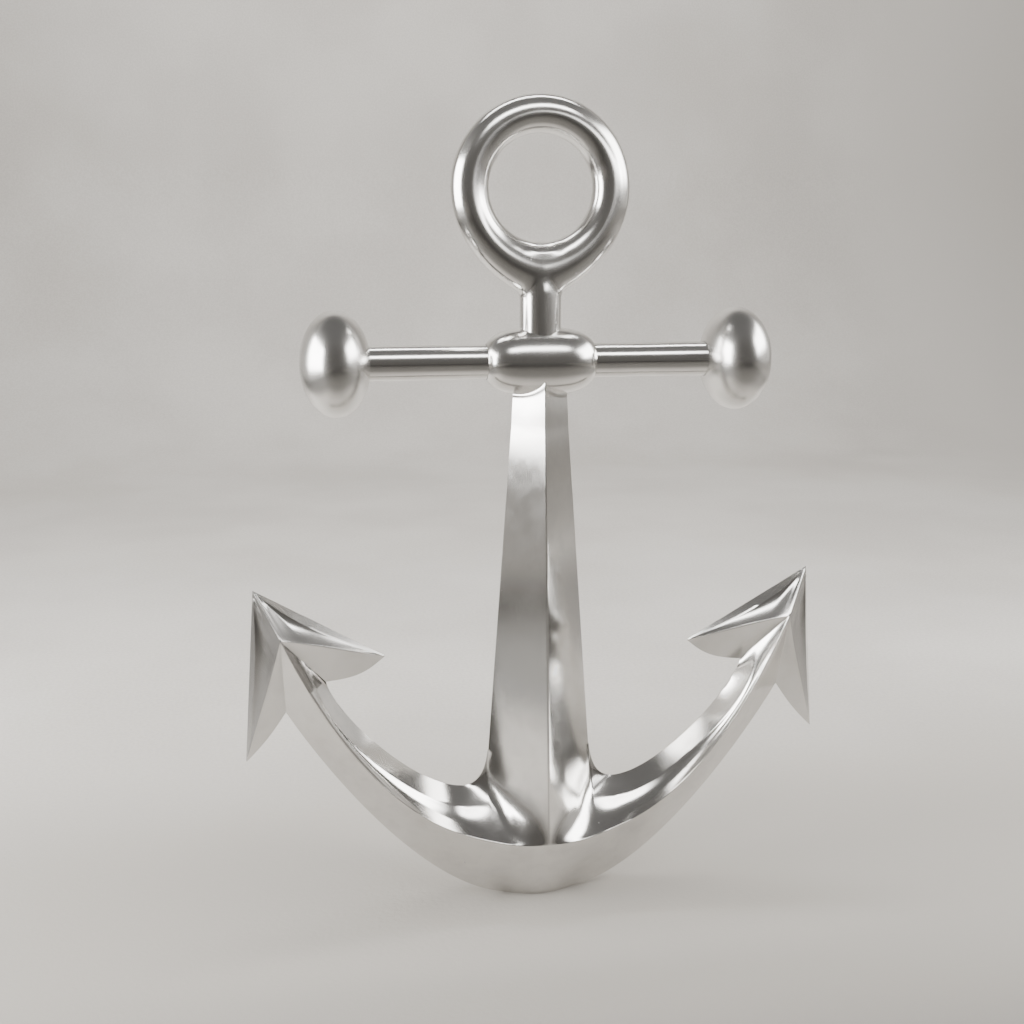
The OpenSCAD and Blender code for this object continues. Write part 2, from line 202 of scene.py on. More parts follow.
# Floor and wall in one sweep
FLOOR_FRONT, FLOOR_BACK, SWEEP_R, WALL_TOP, STUDIO_HALF = -4.0, 1.9, 0.7, 3.6, 4.0
SWEEP_STEPS = 16
studio = bmesh.new()
start = studio.verts.new((-STUDIO_HALF, FLOOR_FRONT, 0))
corner = studio.verts.new((-STUDIO_HALF, FLOOR_BACK, 0))
studio.edges.new((start, corner))
bmesh.ops.spin(studio, geom=[corner], cent=(0, FLOOR_BACK, SWEEP_R), axis=(1, 0, 0),
               angle=pi / 2, steps=SWEEP_STEPS)
profile = list(studio.edges)
top = max(studio.verts, key=lambda v: v.co.z)
profile.append(studio.edges.new((top, studio.verts.new((-STUDIO_HALF, top.co.y, WALL_TOP)))))
widened = bmesh.ops.extrude_edge_only(studio, edges=profile)["geom"]
bmesh.ops.translate(studio, vec=(2 * STUDIO_HALF, 0, 0),
                    verts=[g for g in widened if isinstance(g, bmesh.types.BMVert)])
studio_mesh = bpy.data.meshes.new("floor_and_wall")
for face in studio.faces:
    face.smooth = True
studio.to_mesh(studio_mesh)
backdrop = bpy.data.objects.new("floor_and_wall", studio_mesh)
bpy.context.scene.collection.objects.link(backdrop)
backdrop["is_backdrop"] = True

plaster_with_painted_shade = bpy.data.materials.new("pale_plaster_with_painted_shade")
coat = Shader(plaster_with_painted_shade)
spot = coat.node("ShaderNodeTexCoord", output="Object")
clouds = coat.node("ShaderNodeTexNoise", None, {"Vector": spot, "Scale": 3.0, "Detail": 6.0})
grain = coat.node("ShaderNodeTexNoise", None, {"Vector": spot, "Scale": 240.0, "Detail": 3.0})
CLOUD_SHARE = 0.6
tone = clouds.between(0.3, 0.7) * CLOUD_SHARE + grain.between(0.35, 0.65) * (1 - CLOUD_SHARE)
PLASTER_DULL, PLASTER_PALE = (0.56, 0.535, 0.505), (0.69, 0.670, 0.640)
tone_and_painted_shade = coat.mix(tone, PLASTER_DULL, PLASTER_PALE)
# The floor carries painted shade: it is a little darker under the anchor, dark in front of it
# and beside a wedge that widens to the back, and pale again far out. Each pair of distances in
# metres says where a tone starts to change and where it has.
FLOOR_PAINTED_SHADE_NEAR, NEAR_TO_WALL = (0.40, 0.380, 0.352), (0.02, 0.55)
FLOOR_PAINTED_SHADE_LEFT, LEFT_LEAN, LEFT_EDGE = (0.06, 0.057, 0.053), 0.35, (0.46, 0.72)
FLOOR_PAINTED_SHADE_RIGHT, RIGHT_LEAN, RIGHT_EDGE = (0.16, 0.152, 0.142), 0.75, (0.42, 0.75)
FLOOR_PAINTED_SHADE_FRONT, FRONT_EDGE = (0.10, 0.095, 0.088), (0.06, 0.42)
FLOOR_FAR, FAR_EDGE = (0.68, 0.655, 0.62), (1.2, 1.7)
sideways, depth = coat.part(spot, "X"), coat.part(spot, "Y")
# Painted shade: the floor's colour is darkened under the anchor, beside it and in front of it
tone_and_painted_shade = coat.mix(depth.between(*NEAR_TO_WALL), FLOOR_PAINTED_SHADE_NEAR, tone_and_painted_shade)
tone_and_painted_shade = coat.mix((sideways * -1 - depth * LEFT_LEAN).between(*LEFT_EDGE), tone_and_painted_shade, FLOOR_PAINTED_SHADE_LEFT)
tone_and_painted_shade = coat.mix((sideways - depth * RIGHT_LEAN).between(*RIGHT_EDGE), tone_and_painted_shade, FLOOR_PAINTED_SHADE_RIGHT)
tone_and_painted_shade = coat.mix((depth * -1).between(*FRONT_EDGE), tone_and_painted_shade, FLOOR_PAINTED_SHADE_FRONT)
for outward in (sideways, sideways * -1):
    tone_and_painted_shade = coat.mix(outward.between(*FAR_EDGE), tone_and_painted_shade, FLOOR_FAR)
relief = coat.node("ShaderNodeBump", None, {"Height": grain, "Distance": 0.0006, "Strength": 0.4})
skin = coat.node("ShaderNodeBsdfPrincipled", None,
                 {"Base Color": tone_and_painted_shade, "Roughness": 0.75, "Normal": relief})
coat.node("ShaderNodeOutputMaterial", None, {"Surface": skin})
studio_mesh.materials.append(plaster_with_painted_shade)


# --- Ring and stem ----------------------------------------------------------------------------
# One aluminium casting: a round eye of round bar that draws down into a short round stem.
# It is ground and buffed all over, and the eye is reamed. The stem is coped to the boss.
def polished(name, colour, cloud, grain, wave, seed, rough=0.15, pits=0.3):
    """Buffed cast aluminium. cloud is the haze the buff leaves, grain its fine scratches, wave
    the long ripple of hand grinding in micrometres, and pits how many pinholes show."""
    finish = bpy.data.materials.new(name)
    metal = Shader(finish)
    place = metal.node("ShaderNodeTexCoord", output="Object")
    # Each casting takes its pattern from another place, which its seed says
    spot = metal.node("ShaderNodeMapping", None,
                      {"Vector": place, "Location": (seed, seed * 0.7, seed * 1.3)})
    along = metal.node("ShaderNodeMapping", None, {"Vector": spot, "Scale": (1, 1, 0.12)})

    haze = metal.node("ShaderNodeTexNoise", None,
                      {"Vector": spot, "Scale": 26, "Detail": 5, "Roughness": 0.55})
    blotch = metal.node("ShaderNodeTexNoise", None, {"Vector": spot, "Scale": 95, "Detail": 4})
    ripple = metal.node("ShaderNodeTexNoise", None,
                        {"Vector": spot, "Scale": 24, "Detail": 1, "Roughness": 0.3})
    swirl = metal.node("ShaderNodeTexNoise", None, {"Vector": spot, "Scale": 70, "Detail": 1})
    scratch = metal.node("ShaderNodeTexNoise", None,
                         {"Vector": along, "Scale": 1500, "Detail": 3, "Roughness": 0.6})
    speck = metal.node("ShaderNodeTexVoronoi", None,
                       {"Vector": spot, "Scale": 230, "Randomness": 1})
    chance = metal.node("ShaderNodeTexNoise", None, {"Vector": spot, "Scale": 60, "Detail": 2})

    often = chance.between(0.72 - 0.25 * pits, 0.80 - 0.2 * pits)
    pinhole = (1 - speck.between(0.05, 0.16)) * often
    milky = haze.between(0.38, 0.68) * 0.65 + blotch.between(0.40, 0.66) * 0.35
    fine = scratch.between(0.25, 0.75)

    dull = tuple(c * (1 - 0.16 * cloud) for c in colour)
    base = metal.mix(milky, colour, dull)
    base = metal.mix(pinhole * 0.7, base, tuple(c * 0.38 for c in colour))
    roughness = rough + milky * (0.085 * cloud) + fine * (0.035 * grain) + pinhole * 0.3

    # Relief in metres
    relief = (ripple * (wave * 1e-6) + swirl * (wave * 0.07e-6)
              + fine * (grain * 0.35e-6) - pinhole * 30e-6)
    normal = metal.node("ShaderNodeBump", None,
                        {"Height": relief, "Distance": 1.0, "Strength": 1.0})
    skin = metal.node("ShaderNodeBsdfPrincipled", None,
                      {"Base Color": base, "Metallic": 1.0, "Roughness": roughness,
                       "Normal": normal})
    metal.node("ShaderNodeOutputMaterial", None, {"Surface": skin})
    return finish


def in_mm(corner):
    return Vector(corner) / MM


# Vertices closer than the first are joined, and faces thinner than the second are removed
WELD, SLIVER = 0.004, 0.002


def make(name, bm, finish, crease=32):
    """Turns a bmesh in millimetres into a smooth-shaded piece, sharp where faces turn further
    than the crease angle."""
    bmesh.ops.remove_doubles(bm, verts=bm.verts, dist=WELD)
    bmesh.ops.dissolve_degenerate(bm, edges=bm.edges, dist=SLIVER)
    bmesh.ops.recalc_face_normals(bm, faces=bm.faces)
    bmesh.ops.scale(bm, vec=(MM, MM, MM), verts=bm.verts)
    for face in bm.faces:
        face.smooth = True
    for edge in bm.edges:
        edge.smooth = edge.calc_face_angle(0) < radians(crease)
    mesh = bpy.data.meshes.new(name)
    bm.to_mesh(mesh)
    bm.free()
    mesh.materials.append(finish)
    piece = bpy.data.objects.new(name, mesh)
    bpy.context.scene.collection.objects.link(piece)
    return piece


def carve(bm, tool, operation):
    """Adds one bmesh to another as a UNION, or cuts it away as a DIFFERENCE."""
    both = []
    for shape in (bm, tool):
        bmesh.ops.remove_doubles(shape, verts=shape.verts, dist=WELD)
        bmesh.ops.recalc_face_normals(shape, faces=shape.faces)
        mesh = bpy.data.meshes.new("blank")
        shape.to_mesh(mesh)
        shape.free()
        both.append(bpy.data.objects.new("blank", mesh))
        bpy.context.scene.collection.objects.link(both[-1])
    change = both[0].modifiers.new("carve", "BOOLEAN")
    change.operation, change.object, change.solver = operation, both[1], "EXACT"
    bpy.context.view_layer.update()
    result = bmesh.new()
    result.from_object(both[0], bpy.context.evaluated_depsgraph_get())
    for blank in both:
        bpy.data.meshes.remove(blank.data)
    return result


def loft(bm, rings):
    """Skins a row of closed rings, each extruded from the last and moved to its place.
    Gives back the first and the last ring of vertices."""
    count = len(rings[0])
    first = ring = [bm.verts.new(p) for p in rings[0]]
    edges = [bm.edges.new((ring[i], ring[(i + 1) % count])) for i in range(count)]
    for points in rings[1:]:
        place = {v: i for i, v in enumerate(ring)}
        made = bmesh.ops.extrude_edge_only(bm, edges=edges)["geom"]
        edges = [g for g in made if isinstance(g, bmesh.types.BMEdge)]
        ring = [None] * count
        for vert in (g for g in made if isinstance(g, bmesh.types.BMVert)):
            old = next(e.other_vert(vert) for e in vert.link_edges if e.other_vert(vert) in place)
            ring[place[old]] = vert
        for vert, point in zip(ring, points):
            vert.co = point
    return first, ring


def lerp(a, b, t):
    return a + (b - a) * t


def smooth(t):
    t = max(0.0, min(1.0, t))
    return t * t * (3 - 2 * t)


def rising(value, low, high):
    """0 below low, 1 above high, and a smooth step from one to the other."""
    return smooth((value - low) / (high - low))


ring_low, ring_high = (in_mm(corner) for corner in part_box("ring_eye"))
ring_out = (ring_high.x - ring_low.x) / 2
ring_z = ring_high.z - ring_out
ring_bar = 26.6
eye_r = ring_out - ring_bar
stem_r = 14.8
# Towards the stem the bar swells outwards: from level with the eye, and by this much at the
# throat. It gets deeper there too, by a small share.
throat_swell, throat_at, throat_deeper = 9.6, radians(78), 0.05
SWELL_POWER, DEEPER_POWER = 2.8, 3

boss_low, boss_high = (in_mm(corner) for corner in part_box("stock_boss"))
stock_z = (boss_low.z + boss_high.z) / 2
boss_mouth, boss_r = boss_high.x, (boss_high.z - boss_low.z) / 2
bore_r = 12.7
boss_power = 2.8
boss_half = boss_mouth / (1 - (bore_r / boss_r) ** boss_power) ** (1 / boss_power)


def boss_radius(x):
    """Radius of the barrel-shaped boss at a distance x from its middle."""
    share = min(1.0, abs(x) / boss_half)
    return boss_r * (1 - share ** boss_power) ** (1 / boss_power)


def boss_surface(x, y, side):
    """Height at which the boss meets an upright line at x, y: side is 1 above, -1 below."""
    return stock_z + side * sqrt(max(0.0, boss_radius(x) ** 2 - y * y))


ring = bmesh.new()
RING_STEPS, BAR_STEPS = 160, 48
bmesh.ops.create_circle(ring, segments=BAR_STEPS, radius=ring_bar / 2,
                        matrix=Matrix.Translation((ring_out - ring_bar / 2, 0, 0)))
bmesh.ops.spin(ring, geom=ring.verts[:] + ring.edges[:], cent=(0, 0, 0), axis=(0, 1, 0),
               angle=2 * pi, steps=RING_STEPS, use_merge=True)
for vert in ring.verts:
    reach = hypot(vert.co.x, vert.co.z)
    angle = max(0.0, pi / 2 - Vector((0, -1)).angle(Vector((vert.co.x, vert.co.z))))
    swell = throat_swell * (angle / throat_at) ** SWELL_POWER
    share = (reach - eye_r) / ring_bar
    wanted = reach + swell * smooth(share)
    vert.co.x *= wanted / reach
    vert.co.z *= wanted / reach
    vert.co.y *= 1 + throat_deeper * (angle / throat_at) ** DEEPER_POWER
bmesh.ops.translate(ring, vec=(0, 0, ring_z), verts=ring.verts)

stem = bmesh.new()
STEM_STEPS, STEM_ROWS = 48, 24
stem_from, stem_to = stock_z + 14, ring_z - eye_r - 4
# The last stretch widens in front view and thins in side view, inside the throat
FLARE_FROM, FLARE_TO, FLARE_WIDER, FLARE_THINNER = 36, 58, 9, 3.2
stem_rows = []
for step in range(STEM_ROWS):
    rise = (stem_to - stem_from) * step / (STEM_ROWS - 1)
    flare = rising(rise, FLARE_FROM, FLARE_TO)
    row = []
    for i in range(STEM_STEPS):
        a = 2 * pi * i / STEM_STEPS
        x = (stem_r + FLARE_WIDER * flare) * cos(a)
        y = (stem_r - FLARE_THINNER * flare) * sin(a)
        foot = boss_surface(x, y, 1)
        row.append((x, y, foot if step == 0 else max(foot, stem_from + rise)))
    stem_rows.append(row)
ends = loft(stem, stem_rows)
for end in ends:
    bmesh.ops.contextual_create(stem, geom=end)
ring = carve(ring, stem, "UNION")
# The joint of stem and ring is ground to a small fillet: the creases down to a depth below the
# eye are found, and all that lies within reach of them is eased a number of times
JOINT_CREASE, JOINT_DEPTH, JOINT_REACH, JOINT_WELD, JOINT_PASSES = radians(14), 44, 5.0, 0.7, 14
joint = [v.co.copy() for e in ring.edges if e.calc_face_angle(0) > JOINT_CREASE for v in e.verts
         if v.co.z > ring_z - eye_r - JOINT_DEPTH]


def near_joint():
    return [v for v in ring.verts if any((v.co - p).length < JOINT_REACH for p in joint)]


bmesh.ops.remove_doubles(ring, verts=near_joint(), dist=JOINT_WELD)
near = near_joint()
for _ in range(JOINT_PASSES):
    bmesh.ops.smooth_vert(ring, verts=near, factor=0.5, use_axis_x=True, use_axis_y=True,
                          use_axis_z=True)
ring_finish = polished("polished_ring", (0.83, 0.822, 0.806), 0.55, 0.5, 60, 1.7)
ring_piece = make("ring_and_stem", ring, ring_finish)
ring_box = soft_box("ring_box", (0.96, -1.15, 0.78), (0, 0, 0.53), 1.9, 0.30, 10, 0.35)
only(ring_box, ring_piece)
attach(ring_piece, "root")
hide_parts("ring_eye")


# --- Stock boss -------------------------------------------------------------------------------
# A barrel-shaped aluminium casting on the middle of the stock. The bar runs through its bore,
# and the stem and the shank are seated on it with spigots. Turned and buffed.
def turned(outline, steps=96):
    """A closed turned shape about the stock: outline is a row of (x, radius)."""
    bm = bmesh.new()
    verts = [bm.verts.new((x, 0, r)) for x, r in outline]
    for a, b in zip(verts, verts[1:] + verts[:1]):
        bm.edges.new((a, b))
    bmesh.ops.spin(bm, geom=bm.verts[:] + bm.edges[:], cent=(0, 0, 0), axis=(1, 0, 0),
                   angle=2 * pi, steps=steps, use_merge=True)
    bmesh.ops.translate(bm, vec=(0, 0, stock_z), verts=bm.verts)
    return bm


bar_low, bar_high = (in_mm(corner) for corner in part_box("stock_bar"))
bar_r, bar_half = (bar_high.z - bar_low.z) / 2, bar_high.x
BOSS_STEPS = 72
outline = []
for step in range(BOSS_STEPS + 1):
    t = -1 + 2 * step / BOSS_STEPS
    x = boss_mouth * sin(pi / 2 * t)
    outline.append((x, max(bore_r, boss_radius(x))))
boss = turned(outline)
boss_finish = polished("polished_boss", (0.82, 0.812, 0.796), 0.7, 0.5, 90, 4.1)
boss_piece = make("stock_boss_casting", boss, boss_finish)
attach(boss_piece, "root")
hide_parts("stock_boss")

# --- Stock bar --------------------------------------------------------------------------------
# One round aluminium bar through the boss, its ends seated in the balls. The hand buffing
# leaves it very slightly uneven along its length.
BAR_ROWS, BAR_STEPS_ROUND = 120, 64
bar_end_r = 1
# The bar is up to twice this much thinner than its box, and never thicker
wobble = 0.16
outline = [(-bar_half, bar_end_r)]
for step in range(BAR_ROWS + 1):
    x = lerp(-bar_half, bar_half, step / BAR_ROWS)
    uneven = sin(x * 0.061 + 0.8) + 0.6 * sin(x * 0.113 + 2.1)
    outline.append((x, bar_r - wobble + wobble * 0.6 * uneven))
outline.append((bar_half, bar_end_r))
bar = turned(outline, BAR_STEPS_ROUND)
bar_finish = polished("polished_bar", (0.82, 0.812, 0.796), 0.5, 0.5, 45, 7.3)
bar_piece = make("stock_bar_rod", bar, bar_finish)
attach(bar_piece, "root")
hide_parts("stock_bar")

# --- Balls ------------------------------------------------------------------------------------
# Two oblate aluminium balls, turned and buffed, one on each end of the bar. Each is bored
# for the bar's end and held by a threaded stud.
BALL_STEPS = 64
bore_deep = 4
balls = []
for side, node in ((-1, "stock_ball_left"), (1, "stock_ball_right")):
    low, high = (in_mm(corner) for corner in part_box(node))
    ball_r = (high.z - low.z) / 2
    opened = sqrt(1 - (bore_r / ball_r) ** 2)
    ball_half = (high.x - low.x) / (1 + opened)
    ball_x = (high.x if side > 0 else low.x) - side * ball_half
    entry = -side * ball_half * opened
    outline = []
    for step in range(BALL_STEPS + 1):
        u = -pi / 2 + pi * step / BALL_STEPS
        x, r = ball_half * sin(u), ball_r * cos(u)
        if side * x < side * entry and r < bore_r:
            x, r = entry, bore_r
        outline.append((ball_x + x, max(r, 0)))
    seat_x = ball_x + entry + side * bore_deep
    outline = [p for i, p in enumerate(outline) if i == 0 or p != outline[i - 1]]
    seat = [(seat_x, 0), (seat_x, bore_r)]
    outline = seat + outline if side > 0 else outline + seat[::-1]
    ball = turned(outline)
    ball_finish = polished(f"polished_{node}", (0.83, 0.822, 0.806), 0.6, 0.5, 40,
                           9 + 2.3 * side, rough=0.21)
    ball_piece = make(node + "_casting", ball, ball_finish)
    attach(ball_piece, "root")
    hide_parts(node)
    balls.append(ball_piece)
only(top_box, *balls, but=True)
only(wall_wash, backdrop, ring_piece, boss_piece, bar_piece)


# --- Shank ------------------------------------------------------------------------------------
# A square aluminium bar set cornerwise and tapered, cast with a tenon at its foot. Its head is
# coped to the boss with a low lip, and its corners are eased by the buff.
shank_top, shank_foot = 20.0, 39.5
seam_z = 120.0
SIDE_FLAT = 0.5
ease = 0.3
# The lip at the head, and how much the faces bulge, and where the cope to the boss begins
lip_out, lip_from, lip_run = 0.55, 7, 5
face_bulge = 0.22
COPE_FROM, cope_gap, head_in = 0.9, 0.4, 3


def seat_depth(x, half):
    """Depth of the cornerwise square before the middle plane, at x, for a half width."""
    return max(SIDE_FLAT * 0.6, half + ease * 0.35 - sqrt(x * x + ease * ease))


def spread(count):
    """Shares from 0 to 1 that lie closest together near 0: part even, part crowded."""
    even_part, power = 0.22, 2.2
    return [even_part * i / count + (1 - even_part) * (i / count) ** power
            for i in range(count + 1)]


SHANK_HALF_STEPS = 22
shares = spread(SHANK_HALF_STEPS)
across = [-s for s in reversed(shares)] + shares[1:]
SHANK_ROWS = 90
shank_rows = []
for step in range(SHANK_ROWS + 1):
    t = step / SHANK_ROWS
    z = lerp(seam_z, boss_low.z + head_in, t)
    half = lerp(shank_foot, shank_top, (z - seam_z) / (boss_low.z - seam_z))
    lip = lip_out * smooth((z - (boss_low.z - lip_from)) / lip_run)
    front = []
    for s in across:
        x = s * (half + lip - SIDE_FLAT)
        bulge = face_bulge * sin(pi * abs(s)) * sin(pi * t) ** 0.5 if 0 < t < 1 else 0
        y = -(seat_depth(x, half + lip) + bulge)
        front.append(Vector((x, y, z)))
    row = front + [Vector((p.x, -p.y, p.z)) for p in reversed(front)]
    if t > COPE_FROM:
        for p in row:
            roof = boss_surface(p.x, p.y, -1) + cope_gap
            p.z = lerp(p.z, roof, rising(t, COPE_FROM, 1))
    shank_rows.append(row)
shank = bmesh.new()
for end in loft(shank, shank_rows):
    bmesh.ops.contextual_create(shank, geom=end)
shank_finish = polished("polished_shank", (0.81, 0.802, 0.786), 0.7, 1.0, 45, 12.4,
                        rough=0.08, pits=0.1)
shank_piece = make("shank_casting", shank, shank_finish, 40)
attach(shank_piece, "root")
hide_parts("shank")

# --- Arms and crown ---------------------------------------------------------------------------
# One aluminium casting: the crescent with a sharp front and rear ridge, the crown with its
# fillets up to the shank and its flat foot, and V-shaped ends on which the flukes sit. The
# crown is bored from behind for two pins and from below for the draw bolt.
foot_half, foot_end_x, foot_width = 20.0, 33.0, 15.0
crotch_x, crotch_z = 58.5, 91.7
crown_ridge_z, crown_ridge_y, arm_ridge_y, swell_half = 58.0, 45.0, 36.0, 62.0
fluke_ridge_y = 18.0
fluke_tilt = 62
fluke_c = Vector((192.0, 219.0))


def aim(angle):
    """Unit vector in the front plane, at an angle in degrees above the floor."""
    return Vector((cos(radians(angle)), sin(radians(angle))))


# The arm runs out in a V between these two notches, on which the fluke sits
notch_in = fluke_c + 49.7 * aim(fluke_tilt + 168)
notch_out = fluke_c + 60 * aim(fluke_tilt + 206)


def curve(points, t):
    """Point on the cubic curve through four control points."""
    a, b, c, d = (Vector(p) for p in points)
    return (a * (1 - t) ** 3 + b * (3 * t * (1 - t) ** 2) + c * (3 * t * t * (1 - t)) + d * t ** 3)


def share_at(points, x):
    """Share of a curve at which it reaches x."""
    low, high = 0.0, 1.0
    for _ in range(24):
        middle = (low + high) / 2
        low, high = (middle, high) if curve(points, middle).x < x else (low, middle)
    return (low + high) / 2


# Each line's first and last pull, in millimetres, and the angles at which it leaves and arrives
foot_end = Vector((foot_half, 0))
outer_pulls, outer_leaves, outer_arrives = (66, 52), 2.4, 60
inner_pulls, inner_arrives = (35, 27), 78
ridge_pulls, ridge_arrives = (30, 194), 66
outer_edge = (foot_end, foot_end + outer_pulls[0] * aim(outer_leaves),
              notch_out - outer_pulls[1] * aim(outer_arrives), notch_out)
inner_edge = ((crotch_x, crotch_z), (crotch_x + inner_pulls[0], crotch_z),
              notch_in - inner_pulls[1] * aim(inner_arrives), notch_in)
ridge_line = ((0, crown_ridge_z), (ridge_pulls[0], crown_ridge_z),
              fluke_c - ridge_pulls[1] * aim(ridge_arrives), fluke_c)
# The corner between shank and arm drops almost straight at first and turns into the crotch
fillet_line = ((shank_foot, seam_z), (shank_foot + 1.5, seam_z - 15),
               (shank_foot + 6, crotch_z), (crotch_x, crotch_z))


def ridge_depth(x):
    """How far the ridge stands before the middle plane: most in the crown, least at the fluke."""
    swelling = (1 + cos(pi * min(1.0, x / swell_half))) / 2
    tapered = lerp(arm_ridge_y, fluke_ridge_y, x / fluke_c.x)
    return tapered + (crown_ridge_y - arm_ridge_y) * swelling


def bend(a, b, c, steps):
    """Points on the curve from a towards b to c, both ends included."""
    return [a * (1 - t) ** 2 + b * (2 * t * (1 - t)) + c * t * t
            for t in (i / steps for i in range(steps + 1))]


def towards(a, b, length, most=0.5):
    """The point a length away from a on the way to b, at most that share of the way."""
    gap = b - a
    return a + gap * min(most, length / max(gap.length, 1e-6))


EDGE_FLAT = 0.35
RIDGE_EASE = 0.8
LOWER_STEPS, GROUND_STEPS, FILLET_BEND, RIDGE_BEND, UPPER_STEPS = 8, 8, 10, 4, 28
lower_bulge = 0.5
LEAN = (shank_foot - shank_top) / (boss_low.z - seam_z)
# Fillets between shank and arms: in the middle of the crown, where the valley is filled up to a
# depth below the seam, and at the corners. The upper faces are ground hollow along the arms.
crown_fillet, corner_fillet, crown_drop = 48.0, 17.0, 34.0
CREST_SHARE, TOP_SHARE = 0.8, 0.97
hollow_deep = 1.4
HOLLOW_FROM, HOLLOW_FULL, HOLLOW_FADES, HOLLOW_ENDS = 15, 65, 110, 190


def even(points, steps):
    """The same path with its points spread evenly, both ends kept."""
    reach = [0.0]
    for a, b in zip(points, points[1:]):
        reach.append(reach[-1] + (b - a).length)
    spaced, at = [], 0
    for step in range(steps + 1):
        want = reach[-1] * step / steps
        while at < len(points) - 2 and reach[at + 1] < want:
            at += 1
        gap = reach[at + 1] - reach[at]
        spaced.append(lerp(points[at], points[at + 1], (want - reach[at]) / max(gap, 1e-9)))
    return spaced


def half_row(low, foot, ridge, depth, valley, top, seat, across):
    """Front half of a section of the arms, from the outer edge over the ridge to the inner one.
    low, ridge and top are in the front plane, with their depths; valley is where the upper face
    would meet the shank's face, which a fillet rounds; across is the distance from the middle."""
    corner = smooth(across / shank_foot)
    fillet = lerp(crown_fillet, corner_fillet, corner)
    hollow = (hollow_deep * rising(across, HOLLOW_FROM, HOLLOW_FULL)
              * (1 - rising(across, HOLLOW_FADES, HOLLOW_ENDS)))
    low = Vector((low.x, -foot, low.y))
    crest = Vector((ridge.x, -depth, ridge.y))
    top = Vector((top.x, -seat, top.y))
    shares = [t / LOWER_STEPS for t in range(LOWER_STEPS)]
    lower = [lerp(low, crest, t) + Vector((0, -lower_bulge * sin(pi * t), 0)) for t in shares]
    filled = Vector((top.x, -seat - LEAN * crown_drop, seam_z - crown_drop))
    valley = lerp(filled, valley, corner)
    a, b = towards(valley, crest, fillet, CREST_SHARE), towards(valley, top, fillet, TOP_SHARE)
    inward = Vector((0, 0.8, -0.6))
    shares = [t / GROUND_STEPS for t in range(GROUND_STEPS)]
    ground = [lerp(crest, a, t) + inward * hollow * sin(pi * t) for t in shares]
    upper = even(ground + bend(a, valley, b, FILLET_BEND) + [top], UPPER_STEPS)
    a, b = towards(crest, lower[-1], RIDGE_EASE), towards(crest, upper[1], RIDGE_EASE)
    return lower + bend(a, crest, b, RIDGE_BEND) + upper[1:]


def valley_at(x, ridge, depth, top):
    """Point of the section at x where the planes of the shank's face and the arm's face meet,
    found by going from one to the other a few times."""
    rise = (crotch_z - ridge.y) / depth
    z = ridge.y
    for _ in range(12):
        y = -max(EDGE_FLAT + 0.5, shank_foot + LEAN * (seam_z - z) - x)
        z = ridge.y + (depth + y) * rise
    return Vector((x, y, min(z, top.y - 0.3)))


halves = []
for s in spread(SHANK_HALF_STEPS):
    x = s * (shank_foot - SIDE_FLAT)
    ridge = curve(ridge_line, share_at(ridge_line, x))
    foot = max(EDGE_FLAT, foot_width / 2 * max(0.0, 1 - (x / foot_end_x) ** 2) ** 2)
    low = Vector((x, 0)) if x < foot_half else curve(outer_edge, share_at(outer_edge, x))
    depth, top = ridge_depth(x), Vector((x, seam_z))
    valley = valley_at(x, ridge, depth, top)
    halves.append(half_row(low, foot, ridge, depth, valley, top, seat_depth(x, shank_foot), x))
FILLET_STEPS, ARM_STEPS = 30, 90
for step in range(1, FILLET_STEPS + 1):
    t = step / FILLET_STEPS
    top = curve(fillet_line, t)
    ridge = curve(ridge_line, share_at(ridge_line, top.x))
    low = curve(outer_edge, share_at(outer_edge, top.x))
    depth = ridge_depth(top.x)
    valley = valley_at(top.x, ridge, depth, top)
    halves.append(half_row(low, EDGE_FLAT, ridge, depth, valley, top, EDGE_FLAT, top.x))
for step in range(1, ARM_STEPS + 1):
    t = step / ARM_STEPS
    low = curve(outer_edge, lerp(share_at(outer_edge, crotch_x), 1, t))
    ridge = curve(ridge_line, lerp(share_at(ridge_line, crotch_x), 1, t))
    top = curve(inner_edge, t)
    valley = Vector((top.x, -EDGE_FLAT - 0.1, top.y - 0.1))
    halves.append(half_row(low, EDGE_FLAT, ridge, ridge_depth(ridge.x), valley, top, EDGE_FLAT,
                           top.x))


def flipped(points):
    return [Vector((-p.x, p.y, p.z)) for p in points]


def whole_ring(half):
    """A closed ring from its front half and that half's mirror image behind."""
    return half + [Vector((p.x, -p.y, p.z)) for p in reversed(half)]


def close_end(bm, verts):
    """Closes the end of a loft between the front and the rear half of its ring."""
    half = len(verts) // 2
    rows = verts[:half], verts[half:]
    edges = [bm.edges.get(pair) for row in rows for pair in zip(row, row[1:])]
    bmesh.ops.bridge_loops(bm, edges=edges)


rows = [flipped(h) for h in reversed(halves[1:])] + halves
arms = bmesh.new()
for end in loft(arms, [whole_ring(h) for h in rows]):
    close_end(arms, end)


def rod(radius, start, end, steps=40):
    """A straight rod between two points."""
    bm = bmesh.new()
    axis = Vector(end) - Vector(start)
    middle = Matrix.Translation((Vector(start) + Vector(end)) / 2)
    turn = axis.to_track_quat("Z", "Y").to_matrix().to_4x4()
    bmesh.ops.create_cone(bm, cap_ends=True, segments=steps, radius1=radius, radius2=radius,
                          depth=axis.length, matrix=middle @ turn)
    return bm


pin_x, pin_z, pin_bore, pin_from = 8.5, 93.6, 4.15, 16
beyond_back, below_floor = 70, -5
for side in (-1, 1):
    pin = rod(pin_bore, (side * pin_x, pin_from, pin_z), (side * pin_x, beyond_back, pin_z))
    arms = carve(arms, pin, "DIFFERENCE")
bolt_bore, bolt_deep = 5.5, 9.2
arms = carve(arms, rod(bolt_bore, (0, 0, below_floor), (0, 0, bolt_deep)), "DIFFERENCE")
arms_finish = polished("polished_arms", (0.80, 0.79, 0.772), 0.8, 1.0, 60, 16.9,
                       rough=0.09, pits=0.5)
arms_piece = make("arms_and_crown", arms, arms_finish, 26)
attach(arms_piece, "root")
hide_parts("arms")

